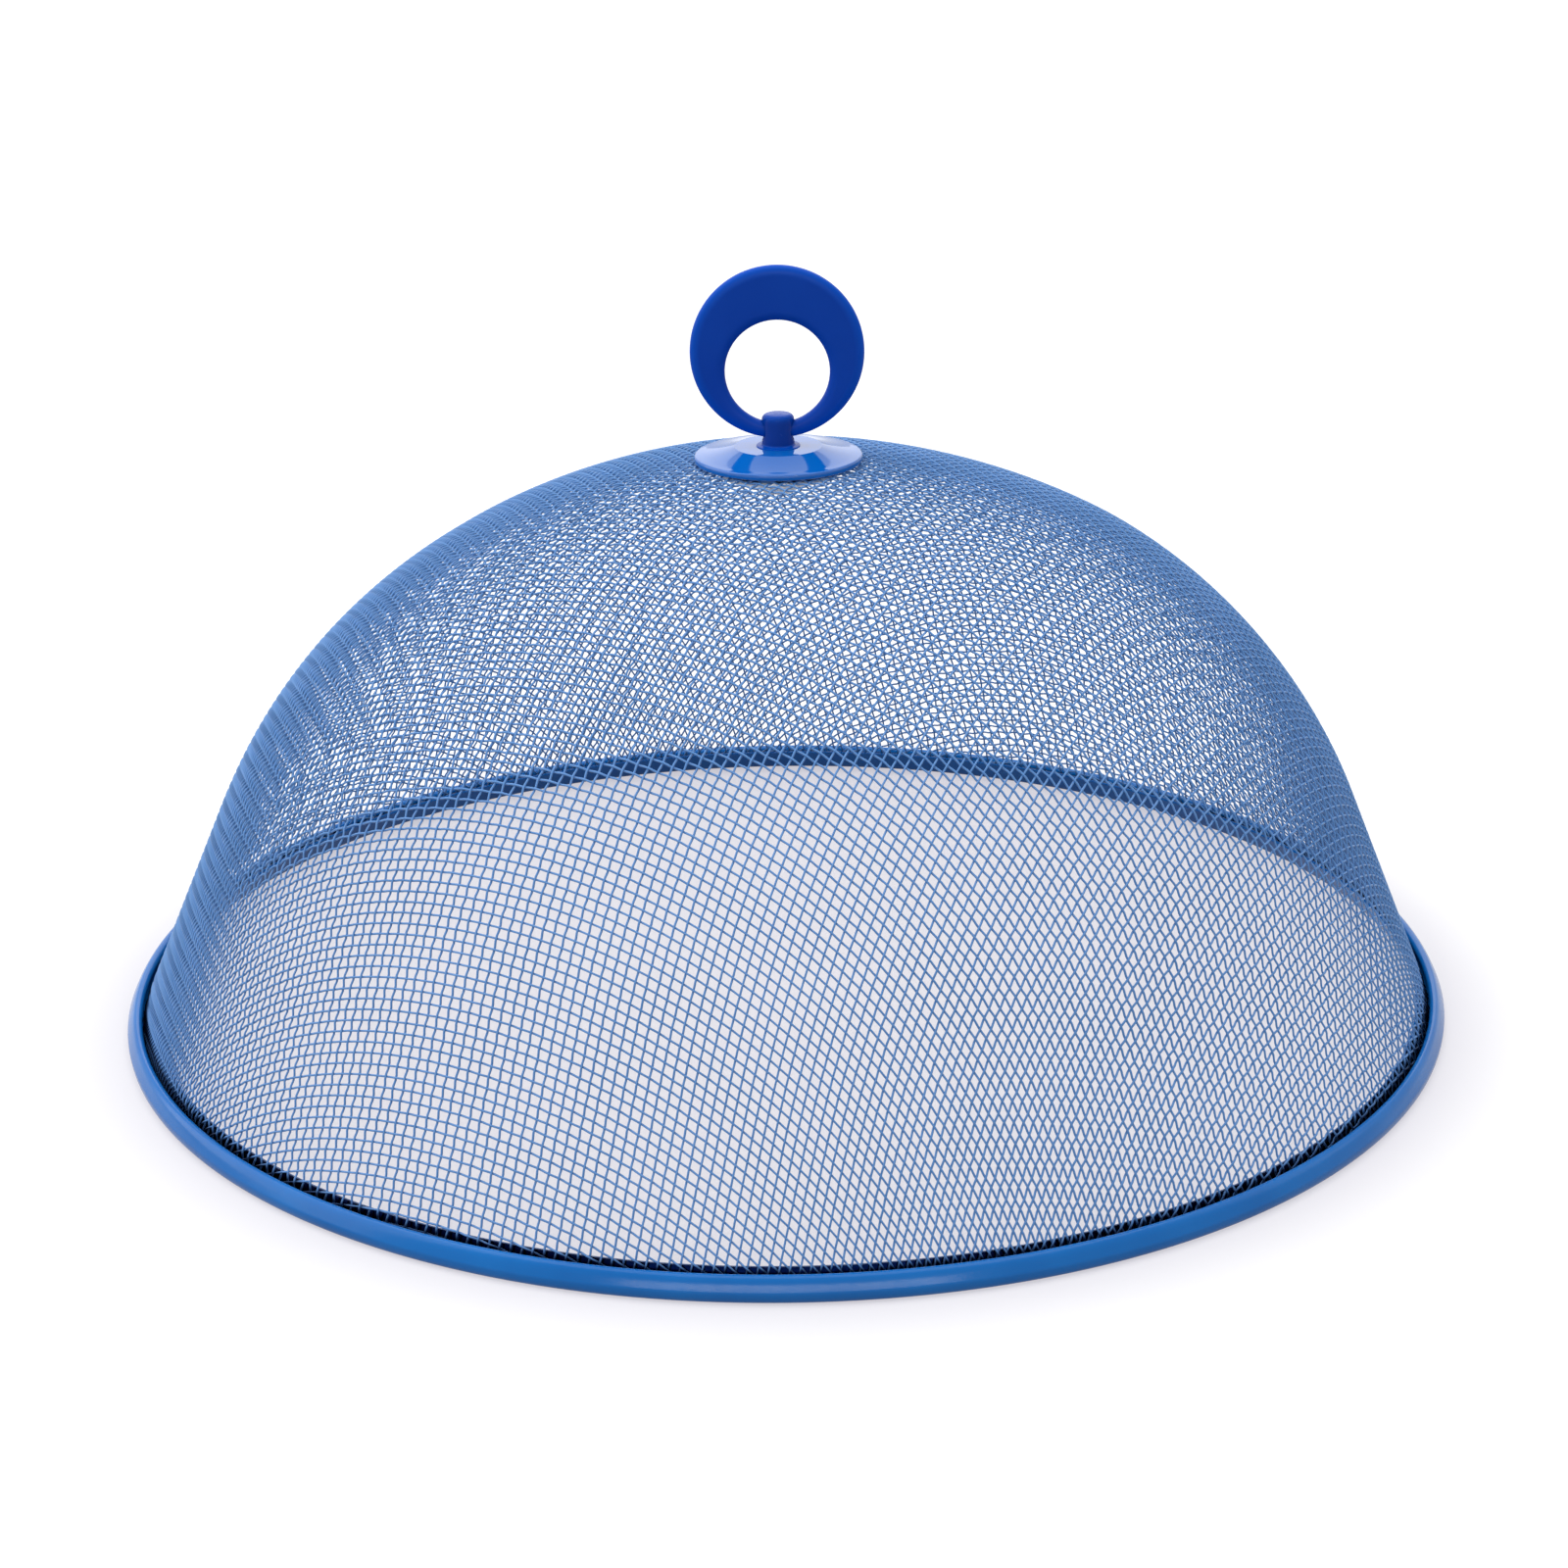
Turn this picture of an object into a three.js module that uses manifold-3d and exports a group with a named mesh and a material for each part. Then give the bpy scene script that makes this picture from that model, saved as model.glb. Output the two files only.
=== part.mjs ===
// Mesh food cover: a pressed dome of woven wire cloth, its edge held in the slot of a rolled
// steel hoop, with a round plate, an eye post and a folding ring on top.
// Millimetres, +Z up. The origin is the centre of the hoop's underside, which the cover rests on.
// The front of the cover faces -Y, and the ring folds about a line along X.
import * as THREE from "three";
import { mergeVertices } from "three/addons/utils/BufferGeometryUtils.js";
import Module from "manifold-3d";

const wasm = await Module();
wasm.setup();

// General
const clearance = 0.3; // between pieces that touch on the real cover
const cutOverrun = 2; // how far a cutter runs past what it cuts
const roundSteps = 56; // facets round a large turned piece
const smallSteps = 28; // facets round a small turned piece
const bendSteps = 2; // facets of a small bend in a sheet
const newtonRounds = 12; // until a crossing of the cloth has settled
const nudgeShare = 0.001; // of the step between crossings, to find how the distances change

// Rim hoop, a strip of sheet steel rolled to a channel that opens upwards
const rimRadius = 150; // to the outside of the roll
const rimHeight = 5.4;
const rimSheet = 0.8; // thickness of the strip
const rollWidth = 3.4; // outer roll, from its outermost line in to the slot
const rollBulge = 1.8; // how far the outer wall swells
const rollSteps = 6; // facets of the swelling wall
const curlRadius = 0.8; // where the roll turns down into the slot, at mid sheet
const slotGap = 1.0; // open line between the roll and the cloth, at the top
const bendRadius = 0.9; // between the underside and the inner wall, at mid sheet

// Wire cloth dome, at the middle of the cloth: a crown arc, a shoulder arc and a cone wall
const clothThickness = 1.1;
const crownRadius = 156;
const crownAngle = 26.6; // degrees from the axis to where the shoulder begins
const wallAngle = 67.2; // degrees from the axis to the normal of the cone wall
const wallLength = 49.6; // of the cone wall, from the shoulder to the cloth's edge
const hemRise = 0.8; // how far the flattened selvedge in the slot shows above the hoop
const hemThickness = 0.9;
const seatThickness = 0.9; // of the pressed cloth under the plate
const seatSteps = 3; // facets from the stud out to the edge of a dished piece

// The real cloth is a little closer one way than the other. One wire in twelve is drawn, and
// drawn wider.
const warpPitch = 2.37; // between the wires that run one way
const weftPitch = 2.18; // between the wires that cross them
const wiresPerStrand = 12;
const strandWidth = 2.2;
const strandEdgeShare = 0.45; // thickness at a strand's edges, as a share of that at its crest
const clothTurn = -30; // degrees from the front to where the warp climbs straight up the wall

// Top plate, a dished round plate
const plateRadius = 18.35;
const plateLip = 1.7; // upright edge
const plateRise = 1.5; // of the cone, from the edge up to the flat
const plateFlatRadius = 9.6;

// Eye post, an eyebolt turned from bar, with a stud below
const postRadius = 3.55;
const postFootRadius = 4.8;
const postFootHeight = 0.9;
const postFootFillet = 0.6;
const postCrownHeight = 1.0; // of the rounded top edge
const postCrownSteps = 4;
const eyeRadius = 2.3;
const eyeMouthRadius = 2.8;
const eyeHeight = 3.5; // from the plate's flat to the middle of the eye
const eyeRoof = 1.5; // metal over the eye
const studRadius = 2.0;
const studReach = 8.6; // below the plate's flat, on top of the plate's own thickness
const studTip = 0.5; // chamfer of the stud's end

// Ring handle, a flat ring whose finger hole lies low, so that it is thin where it turns
const ringRadius = 18.9;
const fingerRadius = 11.35;
const fingerDrop = 4.3; // from the ring's middle down to the finger hole's
const ringThickness = 3.2;
const ringEdge = 1.3; // rounding of the ring's edges
const ringEdgeSteps = 2;

// Fixings under the crown
const backingRadius = 13.5;
const backingThickness = 1.0;
const lockRadius = 3.7;
const lockThickness = 0.9;
const lockSplit = 0.8;
const nutAcrossFlats = 7.0;
const nutThickness = 3.2;
const nutChamfer = 0.5;
const nutSides = 6;

// Colours, as three.js reads them
const rimColour = 0x2a68b4;
const clothColour = 0x6487c4;
const plateColour = 0x2458b0;
const postColour = 0x17459e;
const ringColour = 0x12348c;
const zincColour = 0xb4b8bc;

// Places worked out from the sizes
const degree = Math.PI / 180;
const crownEnd = crownAngle * degree;
const wallTurn = wallAngle * degree;
const strandPitch = Math.max(warpPitch, weftPitch) * wiresPerStrand; // the wider way
const seatRadius = (strandPitch + strandWidth) / 2; // out to the far side of the first strands

const clothOffset = clothThickness / 2 / Math.sin(wallTurn); // half the cloth, level
const clothRadiusAtTop = rimRadius - rollWidth - slotGap - clothOffset;
const clothEdgeHeight = rimSheet + clearance;
const wallSlope = 1 / Math.tan(wallTurn); // how far the wall moves out for each unit down
const clothEdgeRadius = clothRadiusAtTop + (rimHeight - clothEdgeHeight) * wallSlope;
const shoulderRadius =
  (clothEdgeRadius - wallLength * Math.cos(wallTurn) - crownRadius * Math.sin(crownEnd)) /
  (Math.sin(wallTurn) - Math.sin(crownEnd));
const apexHeight =
  clothEdgeHeight +
  wallLength * Math.sin(wallTurn) +
  shoulderRadius * (Math.cos(crownEnd) - Math.cos(wallTurn)) +
  crownRadius * (1 - Math.cos(crownEnd));

const seatOffset = clothThickness / 2 + clearance; // from mid cloth to a piece that lies on it
const plateEdgeBase = crownHeight(seatOffset, plateRadius);
const plateFlatHeight = plateEdgeBase + plateLip + plateRise;
const postBase = plateFlatHeight + clearance;
const pivotHeight = plateFlatHeight + eyeHeight;
const postTop = pivotHeight + eyeRadius + eyeRoof;
const ringBar = ringRadius - fingerDrop - fingerRadius; // the ring's thin part, in the eye
const ringCentre = pivotHeight + ringRadius - ringBar / 2;

const studHoleRadius = studRadius + clearance;
const strandSag = strandPitch ** 2 / 8 / crownRadius; // of a straight strand under the arc
const backingTop = -seatOffset - strandSag; // from mid cloth
const lockTop = crownHeight(backingTop - backingThickness, lockRadius) - clearance;
const nutTop = lockTop - lockThickness - clearance;
const plateThickness = plateFlatHeight - crownHeight(seatOffset, studHoleRadius);
const studEnd = plateFlatHeight - plateThickness - studReach;

// Height of a sphere round the crown's centre, offset from mid cloth, at a distance from the axis
function crownHeight(offset, radius) {
  const centre = apexHeight - crownRadius;
  return centre + Math.sqrt((crownRadius + offset) ** 2 - radius ** 2);
}

// Manifold solids
function solidOf(geometry) {
  const bare = geometry.clone();
  bare.deleteAttribute("normal");
  bare.deleteAttribute("uv");
  const merged = mergeVertices(bare);
  return new wasm.Manifold(
    new wasm.Mesh({
      numProp: 3,
      vertProperties: new Float32Array(merged.attributes.position.array),
      triVerts: new Uint32Array(merged.index.array),
    }),
  );
}

function geometryOf(solid) {
  const mesh = solid.getMesh();
  const geometry = new THREE.BufferGeometry();
  geometry.setAttribute("position", new THREE.BufferAttribute(mesh.vertProperties, 3));
  geometry.setIndex(new THREE.BufferAttribute(mesh.triVerts, 1));
  geometry.computeVertexNormals();
  return geometry;
}

// A closed outline of [radius, height] points, counter-clockwise, turned about the Z axis
function turned(outline, steps) {
  const points = outline.map(([r, z]) => new THREE.Vector2(r, z));
  const closed = points[0].x === 0 && points.at(-1).x === 0;
  if (!closed) points.push(points[0].clone());
  return new THREE.LatheGeometry(points, steps).rotateX(Math.PI / 2);
}

// Points of an arc from one angle to another, in degrees, both ends included
function arc(r, z, radiusR, radiusZ, from, to, steps) {
  return Array.from({ length: steps + 1 }, (_, i) => {
    const angle = (from + ((to - from) * i) / steps) * degree;
    return [r + radiusR * Math.cos(angle), z + radiusZ * Math.sin(angle)];
  });
}

// The outline of a bent sheet: its middle line moved half a thickness to each side
function sheetOutline(middle, thickness) {
  const side = (sign) =>
    middle.map(([r, z], i) => {
      const before = middle[Math.max(i - 1, 0)];
      const after = middle[Math.min(i + 1, middle.length - 1)];
      const unit = (a, b) => {
        const length = Math.hypot(b[0] - a[0], b[1] - a[1]) || 1;
        return [(b[0] - a[0]) / length, (b[1] - a[1]) / length];
      };
      const inward = i ? unit(before, [r, z]) : unit([r, z], after);
      const onward = i < middle.length - 1 ? unit([r, z], after) : inward;
      const normal = [-(inward[1] + onward[1]), inward[0] + onward[0]];
      const cosHalf = Math.hypot(...normal) / 2;
      const reach = (sign * thickness) / 2 / cosHalf ** 2 / 2;
      return [r + normal[0] * reach, z + normal[1] * reach];
    });
  return [...side(-1), ...side(1).reverse()];
}

// The rolled hoop: inner wall, flat underside, swelling outer wall and a curl into the slot
function rimHoop() {
  const half = rimSheet / 2;
  const shift = (clothThickness / 2 + clearance + half) / Math.sin(wallTurn);
  const wallRadius = (z) => clothRadiusAtTop - shift + (rimHeight - z) * wallSlope;
  const bend = 90 - wallAngle; // the inner wall's lean
  const bendCentre = wallRadius(half + bendRadius) + bendRadius / Math.cos(bend * degree);
  const bulge = rollBulge - half;
  const outerCentre = rimRadius - half - bulge;
  const curlCentre = rimRadius - rollWidth + half + curlRadius;
  const middle = [
    [wallRadius(rimHeight - half), rimHeight - half],
    ...arc(bendCentre, half + bendRadius, bendRadius, bendRadius, 180 + bend, 270, bendSteps),
    ...arc(outerCentre, rimHeight / 2, bulge, rimHeight / 2 - half, -90, 90, rollSteps),
    ...arc(curlCentre, rimHeight - half - curlRadius, curlRadius, curlRadius, 90, 180, bendSteps),
  ];
  return turned(sheetOutline(middle, rimSheet), roundSteps);
}

// Distance from the axis and height of the cloth's middle, and the lean of its normal,
// at a length measured from the apex down the dome
const crownLength = crownRadius * crownEnd;
const shoulderLength = shoulderRadius * (wallTurn - crownEnd);

function domeProfile(length) {
  const past = length - crownLength - shoulderLength;
  if (length < crownLength) {
    const lean = length / crownRadius;
    return {
      radius: crownRadius * Math.sin(lean),
      height: apexHeight - crownRadius * (1 - Math.cos(lean)),
      lean,
    };
  }
  const lean = Math.min(crownEnd + (length - crownLength) / shoulderRadius, wallTurn);
  const extra = Math.max(past, 0);
  return {
    radius:
      crownRadius * Math.sin(crownEnd) +
      shoulderRadius * (Math.sin(lean) - Math.sin(crownEnd)) +
      extra * Math.cos(wallTurn),
    height:
      apexHeight -
      crownRadius * (1 - Math.cos(crownEnd)) -
      shoulderRadius * (Math.cos(crownEnd) - Math.cos(lean)) -
      extra * Math.sin(wallTurn),
    lean,
  };
}

// A point of the cloth's middle, with its normal, at [length from the apex, angle round the axis]
function clothPoint([length, turn]) {
  const { radius, height, lean } = domeProfile(length);
  return {
    at: [length, turn],
    point: new THREE.Vector3(radius * Math.cos(turn), radius * Math.sin(turn), height),
    normal: new THREE.Vector3(
      Math.sin(lean) * Math.cos(turn),
      Math.sin(lean) * Math.sin(turn),
      Math.cos(lean),
    ),
  };
}

// The crossing one step on from two neighbours: the point of the dome that lies the weft's step
// below one and the warp's step beside the other, as wires keep their spacing while the squares
// between them shear. Newton's method.
function nextCrossing(a, b, behind, weftStep, warpStep) {
  const guess = a.point.clone().add(b.point).sub(behind.point);
  let at = [a.at[0] + b.at[0] - behind.at[0], Math.atan2(guess.y, guess.x)];
  const nudge = weftStep * nudgeShare;
  const errors = (p) => [p.distanceTo(a.point) - weftStep, p.distanceTo(b.point) - warpStep];
  for (let round = 0; round < newtonRounds; round += 1) {
    const radius = Math.max(domeProfile(at[0]).radius, weftStep);
    const here = errors(clothPoint(at).point);
    const down = errors(clothPoint([at[0] + nudge, at[1]]).point);
    const across = errors(clothPoint([at[0], at[1] + nudge / radius]).point);
    const m = [
      [(down[0] - here[0]) / nudge, (across[0] - here[0]) / nudge],
      [(down[1] - here[1]) / nudge, (across[1] - here[1]) / nudge],
    ];
    const det = m[0][0] * m[1][1] - m[0][1] * m[1][0];
    const moveDown = (here[0] * m[1][1] - here[1] * m[0][1]) / det;
    const moveAcross = (here[1] * m[0][0] - here[0] * m[1][0]) / det;
    at = [at[0] - moveDown, at[1] - moveAcross / radius];
  }
  return clothPoint(at);
}

// Crossings of one quarter of the cloth, at half the strands' spacing, so that the apex lies in
// the middle of a square. Row and column 0 run straight down the dome.
function quarterNet() {
  const weftStep = (weftPitch * wiresPerStrand) / 2;
  const warpStep = (warpPitch * wiresPerStrand) / 2;
  const edgeLength = crownLength + shoulderLength + wallLength;
  const reach = edgeLength + 2 * strandPitch;
  const count = Math.ceil(reach / Math.min(weftStep, warpStep)) + 1;
  const net = Array.from({ length: count }, () => []);
  for (let i = 0; i < count; i += 1) {
    net[i][0] = clothPoint([i * weftStep, 0]);
    net[0][i] = clothPoint([i * warpStep, Math.PI / 2]);
  }
  for (let i = 1; i < count; i += 1) {
    for (let j = 1; j < count; j += 1) {
      const [a, b, behind] = [net[i - 1][j], net[i][j - 1], net[i - 1][j - 1]];
      const known = a && b && behind && Math.max(a.at[0], b.at[0]) < reach;
      net[i][j] = known ? nextCrossing(a, b, behind, weftStep, warpStep) : null;
    }
  }
  return net;
}

// The open lattice of strands. The quarter is mirrored to the other three. Each square of four
// crossings gives four sloping faces round its hole outside and inside, and the walls of the hole.
// Free edges are closed at the end.
function clothLattice() {
  const net = quarterNet();
  const last = net.length - 1;
  const startTurn = (clothTurn - 90) * degree;
  const crossing = (i, j) => {
    const found = net[Math.abs(i)]?.[Math.abs(j)];
    if (!found) return null;
    const turn = i < 0 ? Math.PI - found.at[1] : found.at[1];
    return clothPoint([found.at[0], startTurn + (j < 0 ? -turn : turn)]);
  };
  const positions = [];
  const faces = [];
  const corners = new Map();
  const edges = new Map();
  const add = (p) => positions.push(p.x, p.y, p.z) / 3 - 1;
  const pair = (node, thickness) => [
    add(node.point.clone().addScaledVector(node.normal, thickness / 2)),
    add(node.point.clone().addScaledVector(node.normal, -thickness / 2)),
  ];
  const quad = (a, b, c, d) => faces.push(a, b, c, a, c, d);
  for (let i = -last | 1; i < last; i += 2) {
    for (let j = -last | 1; j < last; j += 2) {
      const keys = [[i, j], [i + 2, j], [i + 2, j + 2], [i, j + 2]];
      const nodes = keys.map(([u, v]) => crossing(u, v));
      const inside = nodes.some((n) => n && n.point.z > clothEdgeHeight);
      if (!inside || nodes.some((n) => !n)) continue;
      const outer = keys.map((key, k) => {
        if (!corners.has(key.join())) corners.set(key.join(), pair(nodes[k], clothThickness));
        return corners.get(key.join());
      });
      const sides = [0, 1, 2, 3].map((k) =>
        nodes[(k + 1) % 4].point.clone().sub(nodes[k].point),
      );
      const area = sides[0].clone().cross(sides[1]).length() / 2 +
        sides[2].clone().cross(sides[3]).length() / 2;
      const share = (k) => (strandWidth / 2) * (sides[k].length() / area);
      const [fu, fv] = [(share(1) + share(3)) / 2, (share(0) + share(2)) / 2];
      const hole = [[fu, fv], [1 - fu, fv], [1 - fu, 1 - fv], [fu, 1 - fv]].map(([s, t]) => {
        const weights = [(1 - s) * (1 - t), s * (1 - t), s * t, (1 - s) * t];
        const at = { point: new THREE.Vector3(), normal: new THREE.Vector3() };
        weights.forEach((w, k) => {
          at.point.addScaledVector(nodes[k].point, w);
          at.normal.addScaledVector(nodes[k].normal, w);
        });
        at.normal.normalize();
        return pair(at, clothThickness * strandEdgeShare);
      });
      for (let k = 0; k < 4; k += 1) {
        const n = (k + 1) % 4;
        quad(outer[k][0], outer[n][0], hole[n][0], hole[k][0]);
        quad(outer[n][1], outer[k][1], hole[k][1], hole[n][1]);
        quad(hole[k][0], hole[n][0], hole[n][1], hole[k][1]);
        edges.set([outer[k][0], outer[n][0]].join(), [outer[k], outer[n]]);
      }
    }
  }
  for (const [key, [from, to]] of edges) {
    const back = key.split(",").reverse().join();
    if (!edges.has(back)) quad(from[0], from[1], to[1], to[0]);
  }
  const geometry = new THREE.BufferGeometry();
  geometry.setAttribute("position", new THREE.Float32BufferAttribute(positions, 3));
  geometry.setIndex(faces);
  return geometry;
}

// Points from the stud hole out to a radius, on the sphere that lies an offset from mid cloth
function dishedFace(offset, reach) {
  return Array.from({ length: seatSteps + 1 }, (_, i) => {
    const radius = studHoleRadius + ((reach - studHoleRadius) * i) / seatSteps;
    return [radius, crownHeight(offset, radius)];
  });
}

// The dome: the lattice trimmed at the top of the hoop, and joined to the selvedge all round its
// edge and to the disc of cloth under the plate, which fills the lattice's middle square
function meshDome() {
  const side = rimRadius + cutOverrun + strandPitch;
  const height = apexHeight + cutOverrun + strandPitch;
  const keep = new THREE.CylinderGeometry(side, side, height, roundSteps)
    .rotateX(Math.PI / 2)
    .translate(0, 0, rimHeight + height / 2);
  const radiusAt = (z) => clothEdgeRadius - (z - clothEdgeHeight) * wallSlope;
  const half = hemThickness / 2 / Math.sin(wallTurn);
  const hemTop = rimHeight + hemRise;
  const hem = turned(
    [
      [radiusAt(clothEdgeHeight) - half, clothEdgeHeight],
      [radiusAt(clothEdgeHeight) + half, clothEdgeHeight],
      [radiusAt(hemTop) + half, hemTop],
      [radiusAt(hemTop) - half, hemTop],
    ],
    roundSteps,
  );
  const seatBottom = dishedFace(-seatThickness / 2, seatRadius);
  const seatTop = dishedFace(seatThickness / 2, seatRadius).reverse();
  const seat = turned([...seatBottom, ...seatTop], smallSteps);
  const lattice = solidOf(clothLattice()).intersect(solidOf(keep));
  return geometryOf(lattice.add(solidOf(hem)).add(solidOf(seat)));
}

// The top plate: an upright lip, a shallow cone and a flat, hollowed below to lie on the crown
function topPlate() {
  return turned(
    [
      ...dishedFace(seatOffset, plateRadius),
      [plateRadius, plateEdgeBase + plateLip],
      [plateFlatRadius, plateFlatHeight],
      [studHoleRadius, plateFlatHeight],
    ],
    roundSteps,
  );
}

// The eye post: stud, foot, shank and rounded top, with the eye bored along X and its mouths eased
function eyePost() {
  const footTop = postBase + postFootHeight;
  const body = turned(
    [
      [0, studEnd],
      [studRadius - studTip, studEnd],
      [studRadius, studEnd + studTip],
      [studRadius, postBase],
      [postFootRadius, postBase],
      [postFootRadius, footTop - postFootFillet],
      [postFootRadius - postFootFillet, footTop],
      [postRadius, footTop],
      ...arc(postRadius - postCrownHeight, postTop - postCrownHeight, postCrownHeight, postCrownHeight,
        0, 90, postCrownSteps),
      [0, postTop],
    ],
    smallSteps,
  );
  const half = postRadius + cutOverrun;
  const flare = ((eyeMouthRadius - eyeRadius) * half) / postRadius;
  const bore = turned(
    [
      [0, -half],
      [eyeRadius + flare, -half],
      [eyeRadius, 0],
      [eyeRadius + flare, half],
      [0, half],
    ],
    smallSteps,
  )
    .rotateY(Math.PI / 2)
    .translate(0, 0, pivotHeight);
  return geometryOf(solidOf(body).subtract(solidOf(bore)));
}

// The ring handle, upright in the XZ plane, about its own turning line
function ringHandle() {
  const outline = new THREE.Shape().absarc(0, 0, ringRadius - ringEdge, 0, 2 * Math.PI);
  const hole = new THREE.Path().absarc(0, -fingerDrop, fingerRadius + ringEdge, 0, 2 * Math.PI);
  outline.holes.push(hole);
  return new THREE.ExtrudeGeometry(outline, {
    depth: ringThickness - 2 * ringEdge,
    bevelThickness: ringEdge,
    bevelSize: ringEdge,
    bevelSegments: ringEdgeSteps,
    curveSegments: roundSteps / 2,
  })
    .translate(0, 0, ringEdge - ringThickness / 2)
    .rotateX(Math.PI / 2)
    .translate(0, 0, ringCentre - pivotHeight);
}

// The dished washer that backs the cloth under the plate
function backingWasher() {
  const bottom = dishedFace(backingTop - backingThickness, backingRadius);
  return turned([...bottom, ...dishedFace(backingTop, backingRadius).reverse()], smallSteps);
}

// A split ring of square section
function lockWasher() {
  const cut = lockSplit / 2 / studHoleRadius;
  const outline = new THREE.Shape();
  outline.absarc(0, 0, lockRadius, cut, 2 * Math.PI - cut, false);
  outline.absarc(0, 0, studHoleRadius, 2 * Math.PI - cut, cut, true);
  return new THREE.ExtrudeGeometry(outline, {
    depth: lockThickness,
    bevelEnabled: false,
    curveSegments: smallSteps / 2,
  });
}

// A hexagon nut with its corners turned off at both faces
function clampNut() {
  const corner = nutAcrossFlats / 2 / Math.cos(Math.PI / nutSides);
  const prism = new THREE.CylinderGeometry(corner, corner, nutThickness, nutSides)
    .rotateX(Math.PI / 2)
    .translate(0, 0, nutThickness / 2);
  const blank = turned(
    [
      [studHoleRadius, 0],
      [corner - nutChamfer, 0],
      [corner, nutChamfer],
      [corner, nutThickness - nutChamfer],
      [corner - nutChamfer, nutThickness],
      [studHoleRadius, nutThickness],
    ],
    smallSteps,
  );
  return geometryOf(solidOf(prism).intersect(solidOf(blank)));
}

// The assembly
function mesh(name, geometry, color, roughness, metalness) {
  const material = new THREE.MeshStandardMaterial({ color, roughness, metalness });
  const made = new THREE.Mesh(geometry, material);
  made.name = name;
  return made;
}

const cover = new THREE.Group();
cover.add(mesh("rim_hoop", rimHoop(), rimColour, 0.35, 0.2));
cover.add(mesh("mesh_dome", meshDome(), clothColour, 0.5, 0.3));

const top = new THREE.Group();
top.add(mesh("top_plate", topPlate(), plateColour, 0.15, 0.1));
top.add(mesh("eye_post", eyePost(), postColour, 0.3, 0.1));
cover.add(top);

const handle = new THREE.Group();
handle.position.z = pivotHeight;
handle.add(mesh("ring_handle", ringHandle(), ringColour, 0.35, 0.05));
top.add(handle);

const fixings = new THREE.Group();
fixings.add(mesh("backing_washer", backingWasher(), zincColour, 0.35, 0.9));
const lock = mesh("lock_washer", lockWasher(), zincColour, 0.35, 0.9);
lock.position.z = lockTop - lockThickness;
const nut = mesh("clamp_nut", clampNut(), zincColour, 0.35, 0.9);
nut.position.z = nutTop - nutThickness;
fixings.add(lock, nut);
cover.add(fixings);

export default cover;
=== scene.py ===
"""A mesh food cover dressed for the camera: woven wire cloth, a rolled hoop, a glossy plate, an eye
post and a folding ring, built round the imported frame. Metres, +Z up, the front faces -Y."""
import math
import bpy
import numpy as np
from mathutils import Matrix, Vector

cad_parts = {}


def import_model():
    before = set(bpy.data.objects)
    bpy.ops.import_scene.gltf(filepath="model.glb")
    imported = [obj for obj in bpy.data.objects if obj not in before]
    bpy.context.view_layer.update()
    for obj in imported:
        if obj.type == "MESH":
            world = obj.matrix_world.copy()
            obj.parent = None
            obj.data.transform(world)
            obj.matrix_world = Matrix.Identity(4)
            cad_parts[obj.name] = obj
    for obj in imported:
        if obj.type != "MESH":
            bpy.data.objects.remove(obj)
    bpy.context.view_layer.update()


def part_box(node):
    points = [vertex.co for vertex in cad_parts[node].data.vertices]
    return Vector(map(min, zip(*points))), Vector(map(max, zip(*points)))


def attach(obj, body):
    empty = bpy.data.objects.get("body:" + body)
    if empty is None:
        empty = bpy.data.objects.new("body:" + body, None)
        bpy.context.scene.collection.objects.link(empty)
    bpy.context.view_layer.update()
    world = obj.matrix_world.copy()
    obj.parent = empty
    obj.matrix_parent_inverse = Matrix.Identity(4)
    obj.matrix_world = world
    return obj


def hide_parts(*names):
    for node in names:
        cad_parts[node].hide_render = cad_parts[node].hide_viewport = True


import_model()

MM = 0.001
DEGREE = math.pi / 180
TURN = 2 * math.pi

# The photograph's view, in a square frame. The lens and the frame's width are in millimetres, and
# how near and how far the camera sees is in metres
CAMERA_LENS = 73.44
CAMERA_FRAME = 36
CAMERA_PLACE = (0.25 * MM, -680.2 * MM, 302.3 * MM)
CAMERA_DOWN = 20.415
CAMERA_ROLL = -0.771
CAMERA_REACH = (0.01, 50)

# Hoop, a strip of sheet rolled to a channel that opens upwards
RIM_SHEET = 0.8 * MM
ROLL_WIDTH = 3.4 * MM
FOOT_ROUND = 1.5 * MM
FACE_LOW = 2.4 * MM
FACE_HIGH = 3.55 * MM
FACE_LEAN = 26
KNEE_REACH = 0.25 * MM
CURL_RADIUS = 0.8 * MM
SLOT_GAP = 1.0 * MM
BEND_RADIUS = 0.9 * MM
STRIP_END_SHARE = 0.42
CLEARANCE = 0.3 * MM

# Cloth, at the middle of its thickness
CLOTH_THICKNESS = 1.1 * MM
CROWN_RADIUS = 156 * MM
CROWN_ANGLE = 26.6
WALL_ANGLE = 67.2
WALL_LENGTH = 49.6 * MM
CLOTH_TURN = -30
WARP_PITCH = 2.37 * MM
WEFT_PITCH = 2.18 * MM
WIRE_RADIUS = 0.23 * MM
WIRE_SIDES = 6
WEAVE_LIFT = 0.7
WIRE_END = 0.4 * MM
BULGE_REACH = 2.0 * MM
BULGE_RADIUS_SHARES = [0.13, 0.3, 0.55, 0.72, 0.86, 0.97, 1.0]
BULGE_REACH_SHARES = [0, 0.45, 1.0, 0.65, 0.45, 0.1, 0]
CLOTH_BANDS = 5
SOLVE_ROUNDS = 8
NUDGE_SHARE = 0.001

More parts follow.
